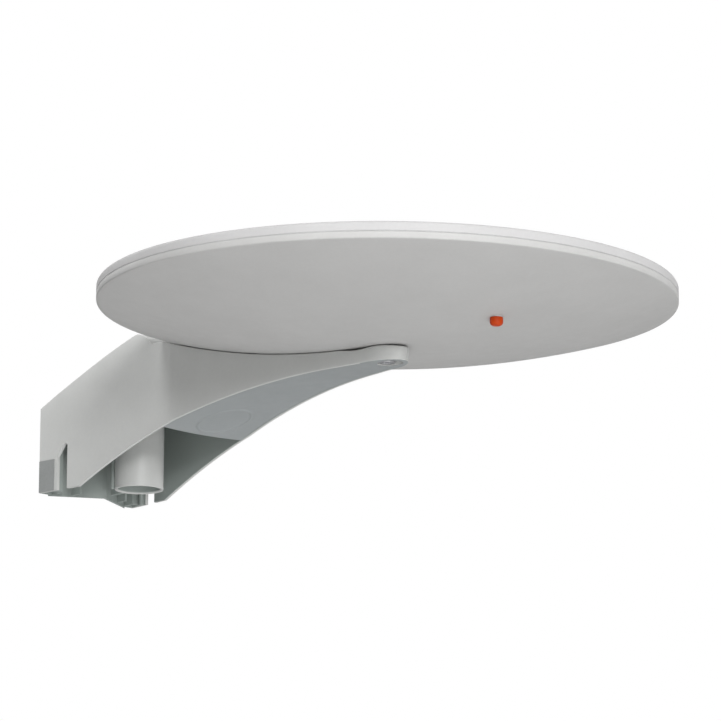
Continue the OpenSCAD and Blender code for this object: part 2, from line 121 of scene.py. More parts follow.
side = Vector((math.cos(AZIMUTH), math.sin(AZIMUTH), 0))
into = Vector((-math.sin(AZIMUTH) * math.cos(ELEVATION),
               math.cos(AZIMUTH) * math.cos(ELEVATION), math.sin(ELEVATION)))
upward = side.cross(into)
disc_centre = Vector((DISC_X, 0, RIM_Z))
eye = disc_centre - into * DISTANCE
target = disc_centre - side * CENTRE_RIGHT - upward * CENTRE_UP
camera = bpy.data.objects.new("camera", bpy.data.cameras.new("camera"))
bpy.context.scene.collection.objects.link(camera)
aim = (target - eye).to_track_quat("-Z", "Y").to_matrix().to_4x4()
camera.matrix_world = Matrix.Translation(eye) @ aim @ Matrix.Rotation(ROLL, 4, "Z")
camera.data.sensor_width = 36
camera.data.lens = 36 * FOCAL_FRAMES
camera.data.clip_end = 50
bpy.context.scene.camera = camera
bpy.context.scene.view_settings.view_transform = "Standard"


# ---------------------------------------------------------------- lights and stage
FLOOR_DROP, FLOOR_REACH = 1.15, 14       # metres below the origin, and out from it each way
LIT_SPOT = Vector((0.15, 0, 0.05))       # what every soft light faces

world = bpy.data.worlds.new("studio")
bpy.context.scene.world = world
world.use_nodes = True
tree = world.node_tree
back = tree.nodes["Background"]
back.inputs["Color"].default_value = (0.93, 0.95, 1.0, 1)
back.inputs["Strength"].default_value = 0.035
ray = tree.nodes.new("ShaderNodeLightPath")
shown = back
# Faint for diffuse light, and white for sheen and where the camera sees past the floor
for kind, strength in (("Is Glossy Ray", 0.5), ("Is Camera Ray", 1.0)):
    white = tree.nodes.new("ShaderNodeBackground")
    white.inputs["Color"].default_value = (1, 1, 1, 1)
    white.inputs["Strength"].default_value = strength
    mix = tree.nodes.new("ShaderNodeMixShader")
    tree.links.new(ray.outputs[kind], mix.inputs[0])
    tree.links.new(shown.outputs[0], mix.inputs[1])
    tree.links.new(white.outputs[0], mix.inputs[2])
    shown = mix
tree.links.new(shown.outputs[0], tree.nodes["World Output"].inputs[0])


def soft_box(name, azimuth, elevation, distance, size, power):
    """A square soft light; azimuth is counted from behind the camera towards its right."""
    a, e = math.radians(azimuth), math.radians(elevation)
    level_in = Vector((into.x, into.y, 0)).normalized()
    way = (side * math.sin(a) - level_in * math.cos(a)) * math.cos(e) + Vector((0, 0, math.sin(e)))
    data = bpy.data.lights.new(name, "AREA")
    data.shape = "SQUARE"
    data.size = size
    data.energy = power
    lamp = bpy.data.objects.new(name, data)
    bpy.context.scene.collection.objects.link(lamp)
    turn = (-way).to_track_quat("-Z", "Y").to_matrix().to_4x4()
    lamp.matrix_world = Matrix.Translation(LIT_SPOT + way * distance) @ turn


# Angles in degrees, distances and sizes in metres, powers in watts
soft_box("key", -38.6, 44.6, 2.6, 0.7, 18)
soft_box("front", 10, 15, 3.6, 1.2, 94)
soft_box("left", -125, 24, 2.6, 1.2, 24)
soft_box("high_left", -85, 62, 2.4, 1.2, 9)
soft_box("right", 45, 20, 2.6, 1.2, 5.6)
soft_box("far_right", 108, 24, 2.6, 1.2, 20)
soft_box("low_front", 25, -25, 2.0, 1.2, 12.7)
soft_box("low_right", 110, -35, 1.8, 1.2, 5)
soft_box("top", 0, 80, 2.2, 1.6, 3.5)
soft_box("behind", 160, 35, 2.4, 1.4, 3.5)

floor_data = bpy.data.meshes.new("floor")
floor_data.from_pydata([(x * FLOOR_REACH, y * FLOOR_REACH, -FLOOR_DROP)
                        for x, y in ((-1, -1), (1, -1), (1, 1), (-1, 1))], [], [(0, 1, 2, 3)])
floor = bpy.data.objects.new("floor", floor_data)
bpy.context.scene.collection.objects.link(floor)


# ---------------------------------------------------------------- materials
def shader(name, colour, roughness, grain=0.0, grain_size=0.4, blotch=0.02, metallic=0.0,
           specular=0.5, coat=0.0, rough_spread=0.06, streak=None):
    """A moulded or rolled surface: colour varies slowly, roughness and height vary finely.
    grain is the height of the fine texture in mm, grain_size its width in mm."""
    m = bpy.data.materials.new(name)
    m.use_nodes = True
    tree = m.node_tree
    surface = tree.nodes["Principled BSDF"]
    surface.inputs["Metallic"].default_value = metallic
    surface.inputs["Specular IOR Level"].default_value = specular
    surface.inputs["Coat Weight"].default_value = coat
    place = tree.nodes.new("ShaderNodeTexCoord")

    def noise(size_mm, detail, stretch=None):
        n = tree.nodes.new("ShaderNodeTexNoise")
        n.inputs["Scale"].default_value = 1000 / size_mm
        n.inputs["Detail"].default_value = detail
        if stretch:
            squeeze = tree.nodes.new("ShaderNodeVectorMath")
            squeeze.operation = "MULTIPLY"
            squeeze.inputs[1].default_value = stretch
            tree.links.new(place.outputs["Object"], squeeze.inputs[0])
            tree.links.new(squeeze.outputs[0], n.inputs["Vector"])
        else:
            tree.links.new(place.outputs["Object"], n.inputs["Vector"])
        return n

    def spread(source, low, high):
        r = tree.nodes.new("ShaderNodeMapRange")
        r.inputs["From Min"].default_value = 0.3
        r.inputs["From Max"].default_value = 0.7
        r.inputs["To Min"].default_value = low
        r.inputs["To Max"].default_value = high
        tree.links.new(source.outputs[0], r.inputs["Value"])
        return r

    cloud = noise(38, 3, streak)
    shade = spread(cloud, 1 - blotch, 1 + blotch)
    speck = spread(noise(2.2, 2), 1 - blotch * 0.6, 1 + blotch * 0.6)
    both = tree.nodes.new("ShaderNodeMath")
    both.operation = "MULTIPLY"
    tree.links.new(shade.outputs[0], both.inputs[0])
    tree.links.new(speck.outputs[0], both.inputs[1])
    tone = tree.nodes.new("ShaderNodeVectorMath")
    tone.operation = "SCALE"
    tone.inputs[0].default_value = colour
    tree.links.new(both.outputs[0], tone.inputs["Scale"])
    tree.links.new(tone.outputs[0], surface.inputs["Base Color"])
    gloss = spread(noise(9, 3, streak), roughness - rough_spread, roughness + rough_spread)
    tree.links.new(gloss.outputs[0], surface.inputs["Roughness"])
    if grain:
        bump = tree.nodes.new("ShaderNodeBump")
        bump.inputs["Strength"].default_value = 1
        bump.inputs["Distance"].default_value = grain * MM
        tree.links.new(noise(grain_size, 2, streak).outputs[0], bump.inputs["Height"])
        tree.links.new(bump.outputs[0], surface.inputs["Normal"])
    return m


LOOKS = {
    "bracket_plastic": shader("bracket_plastic", (0.558, 0.565, 0.552), 0.36, 0.012, 0.5),
    # Bracket plastic painted darker and greener as painted shade for the hollow's inside, the socket's
    # bore and the saddle's and ribs' inner faces; it is also rougher
    "painted_shade_inner": shader("painted_shade_inner", (0.300, 0.335, 0.318), 0.55, 0.012, 0.5),
    # Painted in a darker tone than the bracket plastic, for the ribbed strips
    "dark_strip_plastic": shader("dark_strip_plastic", (0.27, 0.282, 0.278), 0.55, 0.02, 0.4, 0.05),
    "cover_plastic": shader("cover_plastic", (0.320, 0.340, 0.345), 0.52, 0.012, 0.5, specular=0.3),
    "disc_top_plastic": shader("disc_top_plastic", (0.517, 0.513, 0.514), 0.58, 0.008, 0.6,
                               specular=0.12),
    "disc_base_plastic": shader("disc_base_plastic", (0.490, 0.488, 0.481), 0.55, 0.012, 0.6,
                                specular=0.2),
    "rubber": shader("rubber", (0.43, 0.43, 0.43), 0.8, 0.02, 0.4, 0.08),
    "washer_nylon": shader("washer_nylon", (0.08, 0.08, 0.08), 0.55, 0.01, 0.5, 0.05),
    "steel": shader("steel", (0.60, 0.60, 0.62), 0.33, 0.006, 0.3, 0.06, 1.0),
    "brass": shader("brass", (0.70, 0.50, 0.22), 0.32, 0.006, 0.3, 0.08, 1.0),
    "aluminium": shader("aluminium", (0.78, 0.79, 0.80), 0.34, 0.006, 0.3, 0.03, 1.0, streak=(1, 14, 1)),
    "carrier_plastic": shader("carrier_plastic", (0.76, 0.73, 0.63), 0.45, 0.01, 0.6, 0.04),
    "circuit_board": shader("circuit_board", (0.03, 0.15, 0.07), 0.32, 0.012, 0.8, 0.12, coat=0.3),
    "chip_plastic": shader("chip_plastic", (0.02, 0.02, 0.02), 0.5, 0.008, 0.3, 0.1),
    "tinplate": shader("tinplate", (0.66, 0.67, 0.67), 0.28, 0.004, 0.5, 0.05, 1.0, streak=(1, 9, 1)),
    "cable_jacket": shader("cable_jacket", (0.02, 0.02, 0.02), 0.42, 0.01, 0.6, 0.1),
    "gold_plate": shader("gold_plate", (0.86, 0.62, 0.26), 0.24, 0.003, 0.3, 0.04, 1.0),
    "insulator": shader("insulator", (0.82, 0.82, 0.80), 0.5, 0.006, 0.4, 0.03),
    "red_cap": shader("red_cap", (0.50, 0.048, 0.003), 0.45, 0.006, 0.5, 0.05, specular=0.2),
}
floor.data.materials.append(shader("floor_paint", (0.86, 0.86, 0.86), 0.7, 0.05, 3, 0.01))


# ---------------------------------------------------------------- mesh helpers
def add_piece(name, mesh, look, body, replaced=(), smooth_angle=30):
    """Puts a mesh on a body with a look, smooth except where faces meet at a sharp angle."""
    piece = bpy.data.objects.new(name, mesh)
    bpy.context.scene.collection.objects.link(piece)
    mesh.materials.clear()
    mesh.materials.append(LOOKS[look])
    mesh.shade_smooth()
    mesh.set_sharp_from_angle(angle=math.radians(smooth_angle))
    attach(piece, body)
    if replaced:
        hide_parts(*replaced)
    return piece


def look_on(piece, look, chosen):
    """Gives another look to the faces whose centre and normal pass the test chosen(c, n)."""
    piece.data.materials.append(LOOKS[look])
    for face in piece.data.polygons:
        if chosen(face.center, face.normal):
            face.material_index = len(piece.data.materials) - 1


def to_mesh(name, bm):
    """Turns a bmesh into a mesh with its normals outward, and frees it."""
    bmesh.ops.recalc_face_normals(bm, faces=bm.faces)
    mesh = bpy.data.meshes.new(name)
    bm.to_mesh(mesh)
    bm.free()
    return mesh


def skin_rings(bm, rings, closed=True):
    """Joins each ring of vertices to the next. A ring of one vertex is a point."""
    pairs = list(zip(rings, rings[1:] + rings[:1])) if closed else list(zip(rings, rings[1:]))
    for a, b in pairs:
        count = max(len(a), len(b))
        for i in range(count):
            j = (i + 1) % count
            loop = [a[i % len(a)], a[j % len(a)], b[j % len(b)], b[i % len(b)]]
            corners = list(dict.fromkeys(loop))
            if len(corners) > 2:
                bm.faces.new(corners)


def lathe(bm, outline, turns=288, centre=AXIS):
    """A closed outline of (radius, height) turned about the vertical axis through centre."""
    rings = []
    for r, z in outline:
        if r < 1e-7:
            rings.append([bm.verts.new((centre.x, centre.y, z))])
        else:
            rings.append([bm.verts.new((centre.x + r * math.cos(2 * math.pi * i / turns),
                                        centre.y + r * math.sin(2 * math.pi * i / turns), z))
                          for i in range(turns)])
    skin_rings(bm, rings)


def arc(cx, cz, r, start, stop, n=6):
    """Points on a circle, from the angle start to stop in degrees, in n steps."""
    return [(cx + r * math.cos(math.radians(start + (stop - start) * i / n)),
             cz + r * math.sin(math.radians(start + (stop - start) * i / n))) for i in range(n + 1)]


def spaced(a, b, n):
    """n + 1 evenly spaced numbers from a to b."""
    return [a + (b - a) * i / n for i in range(n + 1)]


def ease(t):
    """0 below 0, 1 above 1, and a smooth step between them."""
    t = min(1, max(0, t))
    return t * t * (3 - 2 * t)


# ---------------------------------------------------------------- the disc
def dome(r):
    """Height of the base shell's underside at radius r."""
    return RIM_Z - DOME_DEPTH * (1 - (r / DISC_R) ** DOME_POWER)


def crown(r):
    """Height of the top cover at radius r."""
    return BAND_TOP_Z + CROWN_RISE * (1 - (r / (DISC_R - RIM_ROUND)) ** CROWN_POWER)


def make_top_cover():
    """The upper shell: a low crown, its band, and a spigot that fits inside the base shell."""
    inner = DISC_R - SHELL_T
    lip = inner - 2 * MM
    spigot = inner - 0.15 * MM
    edge = 0.25 * MM
    bm = bmesh.new()
    lathe(bm, [(lip, SEAM_LOW_Z - 1.8 * MM), (spigot - 0.3 * MM, SEAM_LOW_Z - 1.8 * MM),
               (spigot, SEAM_LOW_Z - 1.5 * MM), (spigot, SEAM_HIGH_Z)]
          + arc(DISC_R - edge, SEAM_HIGH_Z + edge, edge, -90, 0, 4)
          + arc(DISC_R - RIM_ROUND, BAND_TOP_Z - RIM_ROUND, RIM_ROUND, 0, 90, 10)[:-1]
          + [(r, crown(r)) for r in spaced(DISC_R - RIM_ROUND, 0, 70)]
          + [(r, crown(r) - SHELL_T) for r in spaced(0, lip, 40)], 360)
    return add_piece("top_cover_skin", to_mesh("top_cover_skin", bm), "disc_top_plastic", "disc",
                     ["top_cover"], 50)


def make_base_shell():
    """The lower shell: its band, a domed underside, and a small raised pad round the screw's bore."""
    edge = 0.5 * MM
    inner = DISC_R - SHELL_T
    fillet = 0.5 * MM
    bore = 4.5 * MM
    hub, hub_z = 9 * MM, RIM_Z - 11 * MM
    bm = bmesh.new()
    pad_foot = dome(PAD_R + fillet)
    lathe(bm, [(bore, PAD_Z)] + [(PAD_R - 0.3 * MM, PAD_Z), (PAD_R, PAD_Z + 0.3 * MM)]
          + [(PAD_R + fillet, pad_foot)]
          + [(r, dome(r)) for r in spaced(PAD_R + 2 * fillet, DISC_R - 2 * edge, 90)]
          + [(DISC_R - 0.5 * edge, dome(DISC_R - 0.5 * edge) + 0.15 * edge), (DISC_R, RIM_Z + edge)]
          + arc(DISC_R - edge, SEAM_LOW_Z - edge, edge, 0, 90, 4)
          + [(inner, SEAM_LOW_Z)] + [(r, dome(r) + SHELL_T) for r in spaced(inner, hub, 60)]
          + [(hub, hub_z), (bore, hub_z)], 360)
    return add_piece("base_shell_skin", to_mesh("base_shell_skin", bm), "disc_base_plastic", "disc",
                     ["base_shell"], 50)


def make_rim_seal():
    """The ring that nearly fills the groove between the two bands."""
    inner, outer = DISC_R - SHELL_T - 0.1 * MM, DISC_R - 0.2 * MM
    bm = bmesh.new()
    lathe(bm, [(inner, SEAM_LOW_Z), (outer, SEAM_LOW_Z), (outer, SEAM_HIGH_Z), (inner, SEAM_HIGH_Z)], 360)
    add_piece("rim_seal_skin", to_mesh("rim_seal_skin", bm), "rubber", "disc", ["rim_seal"])


def make_base_posts():
    """The posts inside the base shell and the seat round the coax socket."""
    bm = bmesh.new()
    turn = math.atan2(CAP_Y, CAP_X - DISC_X)

    def post(r, angle, radius, bore, top):
        a = math.radians(angle) + turn
        spot = Vector((DISC_X + r * math.cos(a), r * math.sin(a), 0))
        foot = dome(r) + 0.4 * SHELL_T
        lathe(bm, [(bore, foot), (radius, foot), (radius, top - 0.3 * MM), (radius - 0.3 * MM, top),
                   (bore, top)], 32, spot)

    post_r, post_top = 4 * MM, RIM_Z - 1 * MM
    for i in range(4):                                # for the element carrier
        post(60 * MM, 45 + 90 * i, post_r, 1.5 * MM, post_top)
    for i in range(8):                                # for the loop's clips
        post(163 * MM, 22.5 + 45 * i, post_r, 0.6 * MM, post_top)
    for x in (28 * MM, 82 * MM):                      # for the amplifier board
        for y in (-17 * MM, 17 * MM):
            post(math.hypot(x, y), math.degrees(math.atan2(y, x)), 3 * MM, 1.2 * MM, RIM_Z - 14.5 * MM)
    seat = Vector((CAP_X, CAP_Y, 0))
    seat_r, seat_bore, seat_low = CAP_R - 0.05 * MM, 4.1 * MM, CAP_HIGH.z + 0.52 * MM
    land_r = 8 * MM                                   # what the nut presses on
    lathe(bm, [(seat_bore, seat_low), (seat_r, seat_low), (seat_r, CAP_HIGH.z + 2.5 * MM),
               (land_r, NUT_LOW.z - 1.5 * MM), (land_r, NUT_LOW.z), (seat_bore, NUT_LOW.z)], 48, seat)
    return add_piece("base_shell_posts", to_mesh("base_shell_posts", bm), "disc_base_plastic", "disc")


def make_cap():
    """A round push-on cap with a soft end, a small rim and a bore."""
    bore, end, floor_t = 3.16 * MM, 2.6 * MM, 1.1 * MM
    spot = Vector((CAP_X, CAP_Y, 0))
    lift = 0.5 * MM                                   # brings its rim up to the seat
    low, high = CAP_LOW.z + lift, CAP_HIGH.z + lift
    bm = bmesh.new()
    lathe(bm, [(0, low)] + arc(CAP_R - end, low + end, end, -90, 0, 10)
          + [(CAP_R, high - 1.1 * MM), (CAP_R - 0.1 * MM, high - 0.6 * MM),
             (CAP_R - 0.15 * MM, high - 0.1 * MM), (CAP_R - 0.2 * MM, high),
             (bore, high), (bore, low + floor_t), (0, low + floor_t)], 72, spot)
    return add_piece("connector_cap_skin", to_mesh("connector_cap_skin", bm), "red_cap", "cap",
                     ["connector_cap"], 50)


# ---------------------------------------------------------------- the arm
EDGE_RUN = LEVEL_X - HEEL_X
EDGE_R = (EDGE_RUN ** 2 + TIP_LOW_Z ** 2) / (2 * TIP_LOW_Z)


def edge_z(x):
    """The arm's lower edge: level at the heel, an arc, and level again under the tip."""
    if x > LEVEL_X:
        return TIP_LOW_Z
    return max(0.0, TIP_LOW_Z - EDGE_R + math.sqrt(EDGE_R ** 2 - (LEVEL_X - x) ** 2))


def roof_z(x, y):
    """The arm's upper surface: a slight bow up to the brow, a step down over it, and then just
    under the disc, with a flat seat and a low boss at the tip."""
    r = math.hypot(x - DISC_X, y)
    under_disc = dome(min(r, DISC_R)) - ARM_GAP
    under_disc += (TIP_TOP_Z - SEAT_DROP - under_disc) * ease((SEAT_FAR - r) / SEAT_RAMP)
    under_disc += BOSS_RISE * ease((BOSS_FAR - r) / BOSS_RAMP)
    t = (x - WALL_X) / (BROW_X - WALL_X)
    if x < BROW_X - 4 * MM:
        return BACK_Z + (BROW_Z - BACK_Z) * t + 4 * ROOF_BOW * t * (1 - t)
    brow = [(BROW_X - 4 * MM, BROW_Z - 1.25 * MM), (BROW_X - 1 * MM, BROW_Z - 0.4 * MM),
            (BROW_X + 1.5 * MM, BROW_Z - 0.05 * MM), (BROW_X + 4 * MM, BROW_Z - 0.5 * MM),
            (BROW_X + 6.5 * MM, BROW_Z - 1.4 * MM), (BROW_X + 11.5 * MM, BROW_Z - 3.9 * MM),
            (BROW_X + 13.5 * MM, BROW_Z - 6 * MM), (BROW_FRONT, RIM_Z - ARM_GAP)]
    for (x0, z0), (x1, z1) in zip(brow, brow[1:]):
        if x <= x1:
            return z0 + (z1 - z0) * (x - x0) / (x1 - x0)
    return under_disc


def half_line(x):
    """Half width of the arm from its waist on, where its sides run straight."""
    return HALF_WAIST + (NECK_HALF - HALF_WAIST) * (x - WAIST_X) / (NECK_X - WAIST_X)


def side_path():
    """Points and outward normals along one side's plan, from the wall to the nose."""
    bends = BACK_BENDS + [(NOSE_X, half_line(NOSE_X))]
    wall_turn = math.atan2(HALF_WAIST - NECK_HALF, NECK_X - WAIST_X)
    swing = math.cos(BEND_TURN - wall_turn)
    bend_r = (half_line(NOSE_X) * math.cos(wall_turn) - NOSE_R * swing) / (1 - swing)
    bend_x = NOSE_X - (bend_r - NOSE_R) * math.sin(BEND_TURN)
    bend_y = (bend_r - NOSE_R) * math.cos(BEND_TURN)
    stations = [WALL_X, WALL_X + 0.2 * MM, WALL_X + 0.5 * MM]
    stations += spaced(WALL_X + 2 * MM, HEEL_X - 4 * MM, 8) + spaced(HEEL_X - 2 * MM, HEEL_X + 2 * MM, 4)
    stations += spaced(HEEL_X + 5 * MM, BROW_X - 6 * MM, 12) + spaced(BROW_X - 4 * MM, BROW_FRONT, 26)
    stations += spaced(BROW_FRONT + 1 * MM, WAIST_X + 3 * MM, 14) + spaced(WAIST_X + 6 * MM, 222 * MM, 34)
    stations += spaced(223 * MM, bend_x + bend_r * math.sin(wall_turn) - 0.3 * MM, 30)
    path = []
    for x in stations:
        for (x0, y0), (x1, y1) in zip(bends, bends[1:]):
            if x <= x1 + 1e-9:
                break
        t = (x - x0) / (x1 - x0)
        run = Vector((x1 - x0, y1 - y0)).normalized()
        path.append((Vector((x, y0 + (y1 - y0) * t)), Vector((-run.y, run.x))))
    for turn in spaced(wall_turn, BEND_TURN, 20):
        normal = Vector((math.sin(turn), math.cos(turn)))
        path.append((Vector((bend_x, -bend_y)) + normal * bend_r, normal))
    for turn in spaced(BEND_TURN, math.pi / 2, 12)[1:]:
        normal = Vector((math.sin(turn), math.cos(turn)))
        path.append((Vector((NOSE_X, 0)) + normal * NOSE_R, normal))
    return path


def make_arm():
    """Walls and roof are swept along the side's plan, mirrored, with every edge rounded; the
    hollow ends at a bulkhead and the tip beyond it is solid."""
    low_round, high_round = 0.4 * MM, 0.6 * MM
    across = 18
    bm = bmesh.new()
    outer_rings, inner_rings = [], []

    def half_outer(spot, normal):
        """From the inside of the wall's lower edge up to the start of the roof."""
        low = edge_z(spot.x)
        inset = spot - normal * high_round
        high = roof_z(inset.x, inset.y) - 0.15 * high_round
        points = []
        for a in spaced(0, 90, 4):
            turn = math.radians(a)
            out = spot - normal * low_round * (1 - math.sin(turn))
            points.append(Vector((out.x, out.y, low + low_round * (1 - math.cos(turn)))))
        for t in spaced(0, 1, 6)[1:-1]:
            z = low + low_round + (high - high_round - low - low_round) * t
            points.append(Vector((spot.x, spot.y, z)))
        for a in spaced(0, 75, 5):
            turn = math.radians(a)
            out = spot - normal * high_round * (1 - math.cos(turn))
            points.append(Vector((out.x, out.y, high - high_round * (1 - math.sin(turn)))))
        return points

    def half_inner(spot, normal):
        """From the wall's lower edge up its inside to the start of the roof's underside."""
        inside = spot - normal * ARM_T
        low = edge_z(spot.x)
        foot, fillet = 0.5 * MM, 1.2 * MM
        roof = roof_z(inside.x, inside.y) - ARM_T - foot
        points = []
        for a in spaced(0, 90, 3):
            turn = math.radians(90 - a)
            out = inside + normal * foot * (1 - math.cos(turn))
            points.append(Vector((out.x, out.y, low + foot * (1 - math.sin(turn)))))
        for t in spaced(0, 1, 4)[1:]:
            points.append(Vector((inside.x, inside.y, low + foot + (roof - fillet - low) * t)))
        for a in spaced(30, 90, 2):
            turn = math.radians(a)
            out = inside - normal * fillet * (1 - math.cos(turn))
            points.append(Vector((out.x, out.y, roof + foot - fillet * (1 - math.sin(turn)))))
        return points

    def mirrored(points):
        return [Vector((p.x, -p.y, p.z)) for p in reversed(points)]

    for spot, normal in side_path():
        left = half_outer(spot, normal)
        for p in left:
            p.x = max(p.x, WALL_X)
        inset = spot - normal * high_round
        roof = [Vector((inset.x, inset.y * (1 - 2 * i / across), 0)) for i in range(1, across)]
        for p in roof:
            p.z = roof_z(p.x, p.y)
        outer_rings.append([bm.verts.new(p) for p in left + roof + mirrored(left)])
        if spot.x < CAVITY_END:
            left = half_inner(spot, normal)
            for p in left:
                p.x = max(p.x, WALL_X)
            width = left[-1].y
            roof = [Vector((left[-1].x, width * (1 - 2 * i / across), 0)) for i in range(1, across)]
            for p in roof:
                p.z = roof_z(p.x, p.y) - ARM_T
            inner_rings.append([bm.verts.new(p) for p in left + roof + mirrored(left)])

    def strip(rows, flip):
        for a, b in zip(rows, rows[1:]):
            for i in range(len(a) - 1):
                quad = [a[i], a[i + 1], b[i + 1], b[i]]
                bm.faces.new(quad if flip else quad[::-1])

    strip(outer_rings, False)
    strip(inner_rings, True)
    last = len(inner_rings) - 1
    for k in range(last):
        for end in (0, -1):
            bm.faces.new([outer_rings[k][end], outer_rings[k + 1][end],
                          inner_rings[k + 1][end], inner_rings[k][end]])
    # Back rim of the walls and roof
    back_outer, back_inner = outer_rings[0], inner_rings[0]
    span_o, span_i = len(back_outer) - 1, len(back_inner) - 1
    i = j = 0
    while i < span_o or j < span_i:
        if j == span_i or (i < span_o and i / span_o <= j / span_i):
            bm.faces.new([back_outer[i], back_outer[i + 1], back_inner[j]])
            i += 1
        else:
            bm.faces.new([back_outer[i], back_inner[j + 1], back_inner[j]])
            j += 1
    # Bulkhead at the end of the hollow
    bm.faces.new(inner_rings[last] + [outer_rings[last][-1], outer_rings[last][0]])
    # Underside of the solid tip
    for a, b in zip(outer_rings[last:], outer_rings[last + 1:]):
        bm.faces.new([a[0], a[-1], b[-1], b[0]])
    bmesh.ops.remove_doubles(bm, verts=bm.verts, dist=1e-6)
    return to_mesh("arm_skin", bm)


def prism(name, outline, low, high):
    """A closed plan outline pulled up from low to high."""
    bm = bmesh.new()
    bottom = [bm.verts.new((x, y, low)) for x, y in outline]
    top = [bm.verts.new((x, y, high)) for x, y in outline]
    bm.faces.new(bottom[::-1])
    bm.faces.new(top)
    skin_rings(bm, [bottom, top], False)
    return bpy.data.objects.new(name, to_mesh(name, bm))


def cut(mesh, cutters):
    """The mesh with each closed cutter taken out of it."""
    body = bpy.data.objects.new("body", mesh)
    bpy.context.scene.collection.objects.link(body)
    for c in cutters:
        bpy.context.scene.collection.objects.link(c)
        step = body.modifiers.new("cut", "BOOLEAN")
        step.object = c
        step.operation = "DIFFERENCE"
        step.solver = "EXACT"
    view = bpy.context.evaluated_depsgraph_get()
    done = bpy.data.meshes.new_from_object(body.evaluated_get(view))
    for o in [body] + cutters:
        bpy.data.objects.remove(o)
    return done


def slot_cutter(s):
    """A band slot through one side wall, with a slanted shoulder and a round top."""
    left = SLOT_X - SLOT_HALF
    top_x, top_z = SLOT_X + SLOT_HALF - SLOT_ROUND, SLOT_TOP - SLOT_ROUND
    reach = math.hypot(top_x - left, top_z - SLOT_SLOPE)
    slant = math.degrees(math.atan2(top_z - SLOT_SLOPE, top_x - left) + math.asin(SLOT_ROUND / reach))
    below, near, far = -5 * MM, 30 * MM, 46 * MM      # past the wall's edge and both its faces
    outline = [(SLOT_X + SLOT_HALF, below), (left, below), (left, SLOT_SLOPE)]
    outline += arc(top_x, top_z, SLOT_ROUND, slant + 90, 0, 14)
    bm = bmesh.new()
    rings = [[bm.verts.new((x, s * y, z)) for x, z in outline] for y in (near, far)]
    bm.faces.new(rings[0])
    bm.faces.new(rings[1][::-1])
    skin_rings(bm, rings, False)
    return bpy.data.objects.new("slot_cutter", to_mesh("slot_cutter", bm))


def strip_spot(s, along, deep):
    """A point on a side wall's back stretch, along it from the wall plane and deep into it."""
    run = Vector((HEEL_X - WALL_X, s * (HALF_HEEL - HALF_BACK))).normalized()
    inward = Vector((-run.y, run.x)) * -s
    return Vector((WALL_X, s * HALF_BACK)) + run * along + inward * deep


def make_arm_skin():
    hole_r, recess_r, end_r, end_x, deep = 3 * MM, 6.4 * MM, 7.3 * MM, 5 * MM, 3.5 * MM
    touch = 0.5 * (end_x ** 2 + recess_r ** 2 - end_r ** 2) / end_x
    a0 = math.degrees(math.acos(touch / recess_r))
    a1 = math.degrees(math.acos((touch - end_x) / end_r))
    outline = arc(DISC_X, 0, recess_r, a0, 360 - a0, 40)
    outline += arc(DISC_X + end_x, 0, end_r, -a1, a1, 32)[1:-1]
    cutters = [slot_cutter(-1), slot_cutter(1),
               prism("recess_cutter", outline, TIP_LOW_Z - 2 * MM, TIP_LOW_Z + deep),
               prism("hole_cutter", arc(DISC_X, 0, hole_r, 0, 354, 59), TIP_LOW_Z - 2 * MM, RIM_Z)]
    arm = add_piece("arm_skin", cut(make_arm(), cutters), "bracket_plastic", "bracket",
                    ["arm_shell"], 35)

    def hollow(c, n):
        """Inside the walls and under the roof, where the painted shade goes."""
        bends = BACK_BENDS + [(NECK_X, NECK_HALF)]
        for (x0, y0), (x1, y1) in zip(bends, bends[1:]):
            if c.x <= x1:
                break
        half = y0 + (y1 - y0) * (c.x - x0) / (x1 - x0)
        return (c.x < CAVITY_END + MM and abs(c.y) < half - 0.7 * ARM_T
                and c.z < roof_z(c.x, c.y) - 0.7 * ARM_T)

    # The arm's hollow is painted darker as painted shade
    look_on(arm, "painted_shade_inner", hollow)
    look_on(arm, "cover_plastic",
            lambda c, n: c.x > CAVITY_END - MM and n.z < -0.9 and c.z < TIP_LOW_Z + MM)
    return arm


def make_grip_strips():
    """Low, finely ribbed pads at the lower back corners of the side walls."""
    pitch, rib = 0.9 * MM, 0.12 * MM
    sunk, start, stop = 0.4 * MM, 0.15 * MM, STRIP_L - 0.1 * MM
    for s, name in ((-1, "grip_strip_near"), (1, "grip_strip_far")):
        bm = bmesh.new()
        outline = [(start, sunk)]
        for i in range(int((stop - start) / pitch)):
            along = start + i * pitch
            outline += [(along, rib - STRIP_T), (along + 0.25 * pitch, -STRIP_T),
                        (along + 0.6 * pitch, -STRIP_T)]
        outline += [(stop, rib - STRIP_T), (stop, sunk)]
        spots = [strip_spot(s, a, d) for a, d in outline]
        rings = [[bm.verts.new((p.x, p.y, z)) for p in spots] for z in (0.3 * MM, STRIP_H)]
        skin_rings(bm, rings, False)
        for ring in rings:
            bm.faces.new(ring)
        add_piece(name, to_mesh(name, bm), "dark_strip_plastic", "bracket")


def make_socket():
    """The mast socket: a round tube, closed at its top, with a led-in mouth."""
    r_out = (TUBE_HIGH.x - TUBE_LOW.x) / 2
    r_in, deep = 14.3 * MM, 68 * MM
    lead, edge = 1.1 * MM, 0.5 * MM
    low, high = TUBE_LOW.z, TUBE_HIGH.z
    bm = bmesh.new()
    lathe(bm, [(0, high)] + arc(r_out - edge, high - edge, edge, 90, 0, 4)
          + arc(r_out - edge, low + edge, edge, 0, -90, 5)
          + [(r_in + lead, low), (r_in + 0.25 * lead, low + 0.9 * MM), (r_in, low + 1.6 * MM),
             (r_in, low + 12 * MM), (r_in, low + deep), (0, low + deep)], 144, Vector((0, 0, 0)))
    socket = add_piece("mast_socket_skin", to_mesh("mast_socket_skin", bm), "bracket_plastic", "bracket",
                       ["mast_socket"], 50)
    # The bore's inside is painted darker as painted shade
    look_on(socket, "painted_shade_inner",
            lambda c, n: math.hypot(c.x, c.y) < r_in + 0.2 * MM and c.z < deep + MM)
    return socket


